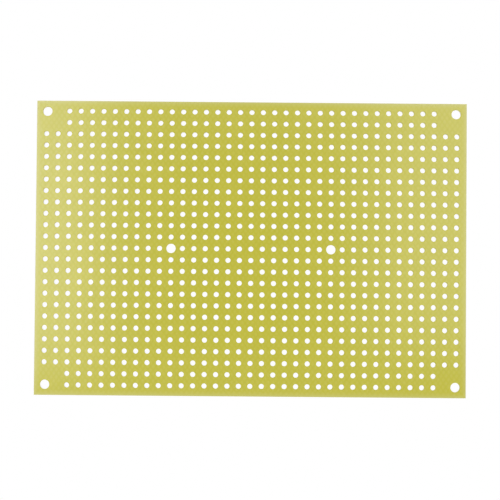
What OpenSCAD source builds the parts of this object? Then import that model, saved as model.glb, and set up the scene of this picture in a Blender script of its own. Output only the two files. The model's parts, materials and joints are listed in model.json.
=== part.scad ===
// Prototype board: a drilled sheet of glass-epoxy laminate with a square grid of lead holes.
// The board lies flat. X runs along its length, Y across its width and Z through its thickness.
// The origin is the middle of the underside. Lengths are in millimetres.

/* [Lead holes] */
// Columns of lead holes, along X
columns = 37; // [18:1:80]
// Rows of lead holes, along Y
rows = 25; // [7:1:60]
// Distance between the centres of neighbouring lead holes
lead_pitch = 2.54; // [2:0.01:5.08]
// Diameter of a lead hole
lead_hole_diameter = 1.15; // [0.6:0.05:1.6]

/* [Sheet] */
// Thickness of the laminate
board_thickness = 1.2; // [0.8:0.1:3.2]
// Distance from the centres of the end columns to the ends of the sheet
end_margin = 2.15; // [1.2:0.05:8]
// Distance from the centres of the outer rows to the sides of the sheet
side_margin = 2.25; // [1.2:0.05:8]

/* [Mounting holes] */
// Diameter of a mounting hole
mounting_hole_diameter = 2.1; // [1.6:0.1:3.4]
// Distance from the centre of a corner hole to both of its edges
corner_hole_inset = 2.35; // [2:0.05:6]
// Lead holes left out each way at a corner, to make room for a screw head or a spacer
corner_gap_count = 2; // [1:1:6]
// Columns from the middle one to each of the two middle holes
middle_hole_steps = 7; // [1:1:16]

/* [Hidden] */

// Facets of a round hole
hole_facets = 32;
// Least laminate left between a lead hole and a mounting hole, to the lead hole's diameter
least_web_share = 0.25;
// Natural colour of the laminate
laminate_colour = "#c0ba44";

// The grid and its margins make up the sheet
board_length = (columns - 1) * lead_pitch + 2 * end_margin;
board_width = (rows - 1) * lead_pitch + 2 * side_margin;

// Corner holes, as far in from the end as from the side
corner_x = board_length / 2 - corner_hole_inset;
corner_y = board_width / 2 - corner_hole_inset;
corner_places = [for (x = [-corner_x, corner_x], y = [-corner_y, corner_y]) [x, y]];

// The two middle holes take the place of lead holes in the middle row
middle_row = floor((rows - 1) / 2);
middle_first_column = floor((columns - 1) / 2) - middle_hole_steps;
middle_columns = [middle_first_column, columns - 1 - middle_first_column];
middle_places = [for (column = middle_columns) grid_place(column, middle_row)];

// A lead hole that leaves too little laminate to a mounting hole is left out
mounting_places = concat(corner_places, middle_places);
least_web = least_web_share * lead_hole_diameter;
least_distance = (mounting_hole_diameter + lead_hole_diameter) / 2 + least_web;
lead_places = [
    for (column = [0 : columns - 1], row = [0 : rows - 1])
        let (place = grid_place(column, row))
        if (!in_corner_gap(column, row) && clear_of_mounting(place))
            place
];

// Centre of a grid hole, counted from the board's left front corner
function grid_place(column, row) = [
    (column - (columns - 1) / 2) * lead_pitch,
    (row - (rows - 1) / 2) * lead_pitch
];

// Whether a grid hole is among the last few both along and across the board
function in_corner_gap(column, row) =
    min(column, columns - 1 - column) < corner_gap_count
    && min(row, rows - 1 - row) < corner_gap_count;

// Whether a place is far enough from every mounting hole
function clear_of_mounting(place) =
    min([for (mounting = mounting_places) norm(place - mounting)]) > least_distance;

// Round holes of one diameter, one at each place
module round_holes(places, diameter) {
    for (place = places)
        translate(place)
            circle(d = diameter, $fn = hole_facets);
}

// Face of the board, with all its holes
module drilled_outline() {
    difference() {
        square([board_length, board_width], center = true);
        round_holes(lead_places, lead_hole_diameter);
        round_holes(mounting_places, mounting_hole_diameter);
    }
}

// The board: one sheet of laminate, bare on both faces and drilled right through
module board() {
    color(laminate_colour)
        linear_extrude(board_thickness)
            drilled_outline();
}

board();
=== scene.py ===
import json
import math

import bpy
from mathutils import Matrix, Vector
from mathutils.geometry import delaunay_2d_cdt


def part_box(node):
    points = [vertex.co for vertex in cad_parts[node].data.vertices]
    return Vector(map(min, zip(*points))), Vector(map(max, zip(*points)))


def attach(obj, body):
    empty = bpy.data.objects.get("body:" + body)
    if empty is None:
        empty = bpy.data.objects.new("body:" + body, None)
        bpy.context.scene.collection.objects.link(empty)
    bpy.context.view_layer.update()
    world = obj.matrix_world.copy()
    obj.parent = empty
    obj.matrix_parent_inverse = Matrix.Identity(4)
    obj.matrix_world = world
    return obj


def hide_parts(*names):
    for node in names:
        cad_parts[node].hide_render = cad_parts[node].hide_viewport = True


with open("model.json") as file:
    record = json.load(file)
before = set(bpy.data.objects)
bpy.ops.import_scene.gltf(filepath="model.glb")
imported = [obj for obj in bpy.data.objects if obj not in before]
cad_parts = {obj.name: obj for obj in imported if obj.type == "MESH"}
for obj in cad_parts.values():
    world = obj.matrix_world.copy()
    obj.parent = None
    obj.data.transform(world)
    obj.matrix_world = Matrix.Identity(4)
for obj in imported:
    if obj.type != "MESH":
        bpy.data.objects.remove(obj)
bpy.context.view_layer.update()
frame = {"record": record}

# Sizes, in metres, from the shared frame
MM = 0.001
board_low, board_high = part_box("board")
length, width, thickness = (high - low for low, high in zip(board_low, board_high))
mounts = {mount["name"]: mount["dims"] for mount in frame["record"]["mounts"]}
lead_radius = mounts["lead_hole"]["r_mm"] * MM
screw_radius = mounts["corner_screws"]["hole_r_mm"] * MM
corner_x = mounts["corner_screws"]["spacing_x_mm"] * MM / 2
corner_y = mounts["corner_screws"]["spacing_y_mm"] * MM / 2
middle_x = mounts["middle_screws"]["spacing_x_mm"] * MM / 2

# The lead holes: a square grid about the board's middle, with its corners left out
COLUMNS = 37
ROWS = 25
LEAD_PITCH = 2.54 * MM
CORNER_GAP_COUNT = 2

# Corners of a rectangle about its middle, counter-clockwise
CORNER_SIGNS = ((-1, -1), (1, -1), (1, 1), (-1, 1))
# Sides of the polygon that draws a round hole
HOLE_SIDES = 32
# On the texture map, radius of a hole wall's foot to that of its rim
WALL_FOOT_SHARE = 0.3
# Kind of triangulation that keeps what lies inside the outline and outside the holes
INSIDE_LESS_HOLES = 2
# Points nearer to each other than this, in millimetres, are one point
SAME_POINT = 1e-7
# Faces that meet at more than this are shaded apart: a hole's wall is smooth, and its rims are sharp
SHARP_ANGLE = math.radians(45)
# Material slots of the board
FACE_SLOT, SIDE_SLOT, WALL_SLOT = 0, 1, 2


# Board

def lead_places(screws):
    """Centres of the lead holes: the grid, less its corners and the places that screws take."""
    places = []
    for column in range(COLUMNS):
        for row in range(ROWS):
            from_end = min(column, COLUMNS - 1 - column)
            from_side = min(row, ROWS - 1 - row)
            x = (column - (COLUMNS - 1) / 2) * LEAD_PITCH
            y = (row - (ROWS - 1) / 2) * LEAD_PITCH
            in_corner = from_end < CORNER_GAP_COUNT and from_side < CORNER_GAP_COUNT
            if not in_corner and min(math.dist((x, y), screw) for screw in screws) > LEAD_PITCH / 2:
                places.append((x, y))
    return places


def circle(centre, radius):
    """Corners of a hole's rim, counter-clockwise."""
    turns = [2 * math.pi * side / HOLE_SIDES for side in range(HOLE_SIDES)]
    return [(centre[0] + radius * math.cos(turn), centre[1] + radius * math.sin(turn)) for turn in turns]


def pairs(ring):
    """Each point of a closed ring with the next one."""
    return zip(ring, ring[1:] + ring[:1])


def drilled_face(outline, holes):
    """Points of a face, its triangles, and the rings of points round its outline and each hole."""
    loops = [outline] + [circle(place, radius) for place, radius in holes]
    rings = []
    for loop in loops:
        first = rings[-1][-1] + 1 if rings else 0
        rings.append(list(range(first, first + len(loop))))
    plan = [Vector(point) / MM for loop in loops for point in loop]
    found, _, triangles, *_ = delaunay_2d_cdt(plan, [], rings, INSIDE_LESS_HOLES, SAME_POINT)
    return [point * MM for point in found], triangles, rings


def make_board():
    """The drilled sheet: two faces with every hole, the four sides, the hole walls and a texture map."""
    screws = [(x, y) for x in (-corner_x, corner_x) for y in (-corner_y, corner_y)]
    screws += [(-middle_x, 0.0), (middle_x, 0.0)]
    outline = [(x * length / 2, y * width / 2) for x, y in CORNER_SIGNS]
    holes = [(place, lead_radius) for place in lead_places(screws)]
    holes += [(place, screw_radius) for place in screws]
    points, triangles, rings = drilled_face(outline, holes)
    count = len(points)

    # The two faces. Each corner of a face has a spot on the map, where the underside lies beyond the top.
    map_size = max(length + 2 * thickness, 2 * width + 4 * thickness)
    top_start = Vector((length / 2 + thickness, width / 2 + thickness))
    under_start = top_start + Vector((0.0, width + 2 * thickness))
    faces, spots = [], []
    for triangle in triangles:
        faces.append(list(triangle))
        spots += [points[v] + top_start for v in triangle]
    for triangle in triangles:
        faces.append([count + v for v in reversed(triangle)])
        spots += [points[v] + under_start for v in reversed(triangle)]
    slots = [FACE_SLOT] * len(faces)

    # The sides. On the map they fold out round the top.
    for a, b in pairs(rings[0]):
        along = (points[b] - points[a]).normalized()
        out = Vector((along.y, -along.x)) * thickness
        faces.append([a, count + a, count + b, b])
        slots.append(SIDE_SLOT)
        side = (points[a], points[a] + out, points[b] + out, points[b])
        spots += [spot + top_start for spot in side]

    # The hole walls. On the map they lie inside the top's rims.
    for ring, (place, _) in zip(rings[1:], holes):
        for a, b in pairs(ring):
            feet = [Vector(place).lerp(points[v], WALL_FOOT_SHARE) for v in (a, b)]
            faces.append([b, count + b, count + a, a])
            slots.append(WALL_SLOT)
            wall = (points[b], feet[1], feet[0], points[a])
            spots += [spot + top_start for spot in wall]

    mesh = bpy.data.meshes.new("drilled_board")
    corners = [(p.x, p.y, z) for z in (board_high[2], board_low[2]) for p in points]
    mesh.from_pydata(corners, [], faces)
    texture_map = mesh.uv_layers.new(name="OFBake")
    texture_map.data.foreach_set("uv", [share / map_size for spot in spots for share in spot])
    for slot, polygon in zip(slots, mesh.polygons):
        polygon.material_index = slot
    mesh.shade_smooth()
    mesh.set_sharp_from_angle(angle=SHARP_ANGLE)
    board = bpy.data.objects.new("drilled_board", mesh)
    bpy.context.collection.objects.link(board)
    return board


# Materials

def linear(hex_colour):
    """Linear colour, with alpha, of an sRGB hex value."""
    shares = [int(hex_colour[i : i + 2], 16) / 255 for i in (1, 3, 5)]
    return [s / 12.92 if s <= 0.04045 else ((s + 0.055) / 1.055) ** 2.4 for s in shares] + [1.0]


def add_node(tree, kind, inputs, **settings):
    """Adds a node with its settings. An input is a value, or the output socket that is linked to it."""
    node = tree.nodes.new(kind)
    for name, value in settings.items():
        setattr(node, name, value)
    for socket, value in inputs.items():
        if isinstance(value, bpy.types.NodeSocket):
            tree.links.new(value, node.inputs[socket])
        else:
            node.inputs[socket].default_value = value
    return node


def new_material(name):
    """An empty material and its node tree."""
    material = bpy.data.materials.new(name)
    material.use_nodes = True
    material.node_tree.nodes.clear()
    return material, material.node_tree


# A wave texture takes the sine of the place times its scale times this
WAVE_FACTOR = 20


def band_scale(period):
    """Scale of a wave texture whose bands repeat after this length."""
    return 2 * math.pi / (WAVE_FACTOR * period)


# Sockets of a mix node that mixes colours
MIX_FIRST, MIX_SECOND, MIX_RESULT = 6, 7, 2

# The board's three finishes are all of glass-epoxy laminate
EPOXY_IOR = 1.55

# Pressed glass-epoxy face: the resin-rich skin that a polished press plate leaves. It gives the eye a
# yellow-green body with the glass cloth just showing, under a clear gloss that mirrors the lamps softly.
FACE_DARK = "#b3ae31"
FACE_LIGHT = "#bab43a"
MOTTLE_SIZE = 4 * MM
MOTTLE_DETAIL = 3.0
# Yarn pitch of the usual heavy laminate cloth, along the board and across it. The weave repeats after two
# yarns.
YARN_PITCH = {"X": 0.58 * MM, "Y": 0.82 * MM}
YARN_TONE = "#d2cd78"
YARN_SHARE = 0.14
YARN_WANDER = 0.8
YARN_RELIEF = 0.001 * MM
# Cutting crazes the resin, which pales it at the very edge and less and less inwards
RIM_TONE = "#beba69"
RIM_WIDTH = 1.9 * MM
RIM_FALL = 3.0
FACE_ROUGHNESS = (0.13, 0.17)
POLISH_SIZE = 1.5 * MM


def laminate_face():
    material, tree = new_material("glass_epoxy_pressed_face")
    place = add_node(tree, "ShaderNodeTexCoord", {}).outputs["Object"]

    mottle = add_node(
        tree, "ShaderNodeTexNoise", {"Vector": place, "Scale": 1 / MOTTLE_SIZE, "Detail": MOTTLE_DETAIL}
    )
    body = add_node(
        tree,
        "ShaderNodeMix",
        {"Factor": mottle.outputs["Fac"], MIX_FIRST: linear(FACE_DARK), MIX_SECOND: linear(FACE_LIGHT)},
        data_type="RGBA",
    )

    # Plain weave: high where the yarns along and across differ in height, low between
    yarns = [
        add_node(
            tree,
            "ShaderNodeTexWave",
            {"Vector": place, "Scale": band_scale(2 * pitch), "Distortion": YARN_WANDER},
            bands_direction=direction,
        )
        for direction, pitch in YARN_PITCH.items()
    ]
    across = add_node(
        tree,
        "ShaderNodeMath",
        {0: yarns[0].outputs["Fac"], 1: yarns[1].outputs["Fac"]},
        operation="SUBTRACT",
    )
    weave = add_node(tree, "ShaderNodeMath", {0: across.outputs[0]}, operation="ABSOLUTE")
    yarn_share = add_node(
        tree, "ShaderNodeMath", {0: weave.outputs[0], 1: YARN_SHARE}, operation="MULTIPLY"
    )
    woven = add_node(
        tree,
        "ShaderNodeMix",
        {
            "Factor": yarn_share.outputs[0],
            MIX_FIRST: body.outputs[MIX_RESULT],
            MIX_SECOND: linear(YARN_TONE),
        },
        data_type="RGBA",
    )

    # Distance in from the nearest edge
    axes = add_node(tree, "ShaderNodeSeparateXYZ", {"Vector": place})
    insets = []
    for axis, half_size in (("X", length / 2), ("Y", width / 2)):
        out = add_node(tree, "ShaderNodeMath", {0: axes.outputs[axis]}, operation="ABSOLUTE")
        left = add_node(tree, "ShaderNodeMath", {0: half_size, 1: out.outputs[0]}, operation="SUBTRACT")
        insets.append(left.outputs[0])
    inset = add_node(tree, "ShaderNodeMath", {0: insets[0], 1: insets[1]}, operation="MINIMUM")
    near_edge = add_node(
        tree,
        "ShaderNodeMapRange",
        {"Value": inset.outputs[0], "From Max": RIM_WIDTH, "To Min": 1.0, "To Max": 0.0},
    )
    rim = add_node(
        tree, "ShaderNodeMath", {0: near_edge.outputs["Result"], 1: RIM_FALL}, operation="POWER"
    )
    rimmed = add_node(
        tree,
        "ShaderNodeMix",
        {"Factor": rim.outputs[0], MIX_FIRST: woven.outputs[MIX_RESULT], MIX_SECOND: linear(RIM_TONE)},
        data_type="RGBA",
    )

    polish = add_node(tree, "ShaderNodeTexNoise", {"Vector": place, "Scale": 1 / POLISH_SIZE})
    roughness = add_node(
        tree,
        "ShaderNodeMapRange",
        {"Value": polish.outputs["Fac"], "To Min": FACE_ROUGHNESS[0], "To Max": FACE_ROUGHNESS[1]},
    )
    relief = add_node(tree, "ShaderNodeBump", {"Height": weave.outputs[0], "Distance": YARN_RELIEF})
    shader = add_node(
        tree,
        "ShaderNodeBsdfPrincipled",
        {
            "Base Color": rimmed.outputs[MIX_RESULT],
            "Roughness": roughness.outputs["Result"],
            "IOR": EPOXY_IOR,
            "Normal": relief.outputs["Normal"],
        },
    )
    add_node(tree, "ShaderNodeOutputMaterial", {"Surface": shader.outputs["BSDF"]})
    return material


# Sawn glass-epoxy, at the sides: torn resin and the ends of the glass. It gives the eye a matt straw
# colour in level streaks.
SAWN_DARK = "#a8a046"
SAWN_LIGHT = "#c8c176"
# A ply of cloth is about 0.2 mm thick and leaves one streak. They are drawn twice as thick, because the
# real ones are too fine to show.
STREAK_HEIGHT = 0.4 * MM
STREAK_WOBBLE = 1.5
STREAK_DETAIL = 2.0
# The glass stands a little proud of the resin, and is rougher
STREAK_RELIEF = 0.02 * MM
RESIN_ROUGHNESS = 0.65
GLASS_ROUGHNESS = 0.85


def laminate_side():
    material, tree = new_material("glass_epoxy_sawn_side")
    place = add_node(tree, "ShaderNodeTexCoord", {}).outputs["Object"]
    streaks = add_node(
        tree,
        "ShaderNodeTexWave",
        {
            "Vector": place,
            "Scale": band_scale(STREAK_HEIGHT),
            "Distortion": STREAK_WOBBLE,
            "Detail": STREAK_DETAIL,
        },
        bands_direction="Z",
    )
    streaked = add_node(
        tree,
        "ShaderNodeMix",
        {"Factor": streaks.outputs["Fac"], MIX_FIRST: linear(SAWN_DARK), MIX_SECOND: linear(SAWN_LIGHT)},
        data_type="RGBA",
    )
    roughness = add_node(
        tree,
        "ShaderNodeMapRange",
        {"Value": streaks.outputs["Fac"], "To Min": RESIN_ROUGHNESS, "To Max": GLASS_ROUGHNESS},
    )
    relief = add_node(
        tree, "ShaderNodeBump", {"Height": streaks.outputs["Fac"], "Distance": STREAK_RELIEF}
    )
    shader = add_node(
        tree,
        "ShaderNodeBsdfPrincipled",
        {
            "Base Color": streaked.outputs[MIX_RESULT],
            "Roughness": roughness.outputs["Result"],
            "IOR": EPOXY_IOR,
            "Normal": relief.outputs["Normal"],
        },
    )
    add_node(tree, "ShaderNodeOutputMaterial", {"Surface": shader.outputs["BSDF"]})
    return material


# Drilled glass-epoxy, in the holes: cut clean where the drill goes in and torn where it comes out.
# Under each rim the wall is painted a dull olive, darker than the face, as painted shade. Below it the
# pale torn glass is painted near white, as painted light from the light table glowing up through it.
CLEAN_TONE_WITH_PAINTED_SHADE = "#9f9748"
TORN_TONE_WITH_PAINTED_GLOW = "#f2efca"
# Torn, with painted glow, below the first height over the underside, and clean, with painted shade,
# above the second. The border is ragged, and comes lower by up to its reach.
TORN_GLOW_TO_CLEAN_SHADE_HEIGHTS = (0.65 * MM, 1.1 * MM)
RAGGED_SIZE = 0.4 * MM
RAGGED_REACH = 0.3 * MM
RAGGED_RELIEF = 0.02 * MM


def laminate_hole_wall():
    material, tree = new_material("glass_epoxy_drilled_wall")
    place = add_node(tree, "ShaderNodeTexCoord", {}).outputs["Object"]
    axes = add_node(tree, "ShaderNodeSeparateXYZ", {"Vector": place})
    ragged = add_node(tree, "ShaderNodeTexNoise", {"Vector": place, "Scale": 1 / RAGGED_SIZE})
    level = add_node(
        tree,
        "ShaderNodeMath",
        {0: ragged.outputs["Fac"], 1: RAGGED_REACH, 2: axes.outputs["Z"]},
        operation="MULTIPLY_ADD",
    )
    # Share of the upper wall, painted darker as painted shade; the rest is the lower wall, painted pale
    # as painted glow
    clean_and_painted_shade_share = add_node(
        tree,
        "ShaderNodeMapRange",
        {"Value": level.outputs[0], "From Min": TORN_GLOW_TO_CLEAN_SHADE_HEIGHTS[0], "From Max": TORN_GLOW_TO_CLEAN_SHADE_HEIGHTS[1]},
        interpolation_type="SMOOTHSTEP",
    )
    # Wall colour: painted glow from below on the torn glass, painted shade under the rim on the clean
    # resin
    wall_colour_with_painted_light_and_shade = add_node(
        tree,
        "ShaderNodeMix",
        {"Factor": clean_and_painted_shade_share.outputs["Result"], MIX_FIRST: linear(TORN_TONE_WITH_PAINTED_GLOW), MIX_SECOND: linear(CLEAN_TONE_WITH_PAINTED_SHADE)},
        data_type="RGBA",
    )
    roughness = add_node(
        tree,
        "ShaderNodeMapRange",
        {"Value": clean_and_painted_shade_share.outputs["Result"], "To Min": GLASS_ROUGHNESS, "To Max": RESIN_ROUGHNESS},
    )
    relief = add_node(
        tree, "ShaderNodeBump", {"Height": ragged.outputs["Fac"], "Distance": RAGGED_RELIEF}
    )
    shader = add_node(
        tree,
        "ShaderNodeBsdfPrincipled",
        {
            "Base Color": wall_colour_with_painted_light_and_shade.outputs[MIX_RESULT],
            "Roughness": roughness.outputs["Result"],
            "IOR": EPOXY_IOR,
            "Normal": relief.outputs["Normal"],
        },
    )
    add_node(tree, "ShaderNodeOutputMaterial", {"Surface": shader.outputs["BSDF"]})
    return material


board = make_board()
for material in (laminate_face(), laminate_side(), laminate_hole_wall()):
    board.data.materials.append(material)
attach(board, "root")
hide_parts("board")

# Floor: the opal acrylic of a light table. It gives the eye plain white round the board and through its
# holes.
FLOOR_REACH = 3.0
FLOOR_GAP = 0.02 * MM
FLOOR_TONE = "#ffffff"
FLOOR_BRIGHTNESS = 1.0

floor_mesh = bpy.data.meshes.new("floor")
floor_corners = [(x * FLOOR_REACH, y * FLOOR_REACH, -FLOOR_GAP) for x, y in CORNER_SIGNS]
floor_mesh.from_pydata(floor_corners, [], [range(len(floor_corners))])
floor = bpy.data.objects.new("floor", floor_mesh)
bpy.context.collection.objects.link(floor)
floor_material, floor_tree = new_material("opal_acrylic_light_table")
glow = add_node(
    floor_tree, "ShaderNodeEmission", {"Color": linear(FLOOR_TONE), "Strength": FLOOR_BRIGHTNESS}
)
add_node(floor_tree, "ShaderNodeOutputMaterial", {"Surface": glow.outputs["Emission"]})
floor_mesh.materials.append(floor_material)

# Lights: white panels overhead, all round the camera, which the gloss of the board mirrors softly, and
# one farther in front. Each has a low and a high corner in plan, in metres, and a brightness.
LAMP_HEIGHT = 0.8
LAMPS = {
    "left_panel": ((-0.72, -0.05), (-0.098, 0.12), 4.1),
    "right_panel": ((0.074, -0.033), (0.68, 0.12), 2.25),
    "rear_left_panel": ((-0.72, 0.12), (-0.098, 0.6), 3.05),
    "rear_panel": ((-0.098, 0.12), (0.074, 0.6), 1.15),
    "rear_right_panel": ((0.074, 0.12), (0.68, 0.6), 2.5),
    "near_panel": ((-0.098, -0.5), (0.074, -0.05), 0.75),
    "front_panel": ((-0.6, -1.2), (0.6, -0.6), 5.85),
}
ROOM_TONE = "#ffffff"
ROOM_BRIGHTNESS = 0.1

for name, (low, high, brightness) in LAMPS.items():
    lamp_data = bpy.data.lights.new(name, "AREA")
    lamp_data.shape = "RECTANGLE"
    lamp_data.size, lamp_data.size_y = high[0] - low[0], high[1] - low[1]
    # A lamp's power is its brightness times its area and pi
    lamp_data.energy = brightness * math.pi * lamp_data.size * lamp_data.size_y
    lamp = bpy.data.objects.new(name, lamp_data)
    lamp.location = ((low[0] + high[0]) / 2, (low[1] + high[1]) / 2, LAMP_HEIGHT)
    bpy.context.collection.objects.link(lamp)

world = bpy.data.worlds.new("studio")
bpy.context.scene.world = world
world.use_nodes = True
room = world.node_tree.nodes["Background"]
room.inputs["Color"].default_value = linear(ROOM_TONE)
room.inputs["Strength"].default_value = ROOM_BRIGHTNESS

# Camera, nearly overhead and a little in front. Its angles are in degrees, and the frame's width is
# what it shows across at the aim.
CAMERA_AIM = Vector((-0.20, -0.185, 0.4)) * MM
CAMERA_DISTANCE = 445.4 * MM
CAMERA_ELEVATION = 87.743
CAMERA_ROLL = 0.472
FRAME_WIDTH = 111.34 * MM
# A full-frame sensor, in millimetres
SENSOR_WIDTH = 36.0
CAMERA_REACH = 20.0

elevation = math.radians(CAMERA_ELEVATION)
back = Vector((0.0, -math.cos(elevation), math.sin(elevation)))
camera_data = bpy.data.cameras.new("camera")
camera_data.sensor_width = SENSOR_WIDTH
camera_data.lens = SENSOR_WIDTH * CAMERA_DISTANCE / FRAME_WIDTH
camera_data.clip_end = CAMERA_REACH
camera = bpy.data.objects.new("camera", camera_data)
upright = (-back).to_track_quat("-Z", "Y").to_matrix().to_4x4()
roll = Matrix.Rotation(math.radians(CAMERA_ROLL), 4, "Z")
camera.matrix_world = Matrix.Translation(CAMERA_AIM + back * CAMERA_DISTANCE) @ upright @ roll
bpy.context.collection.objects.link(camera)
bpy.context.scene.camera = camera
bpy.context.scene.view_settings.view_transform = "Standard"
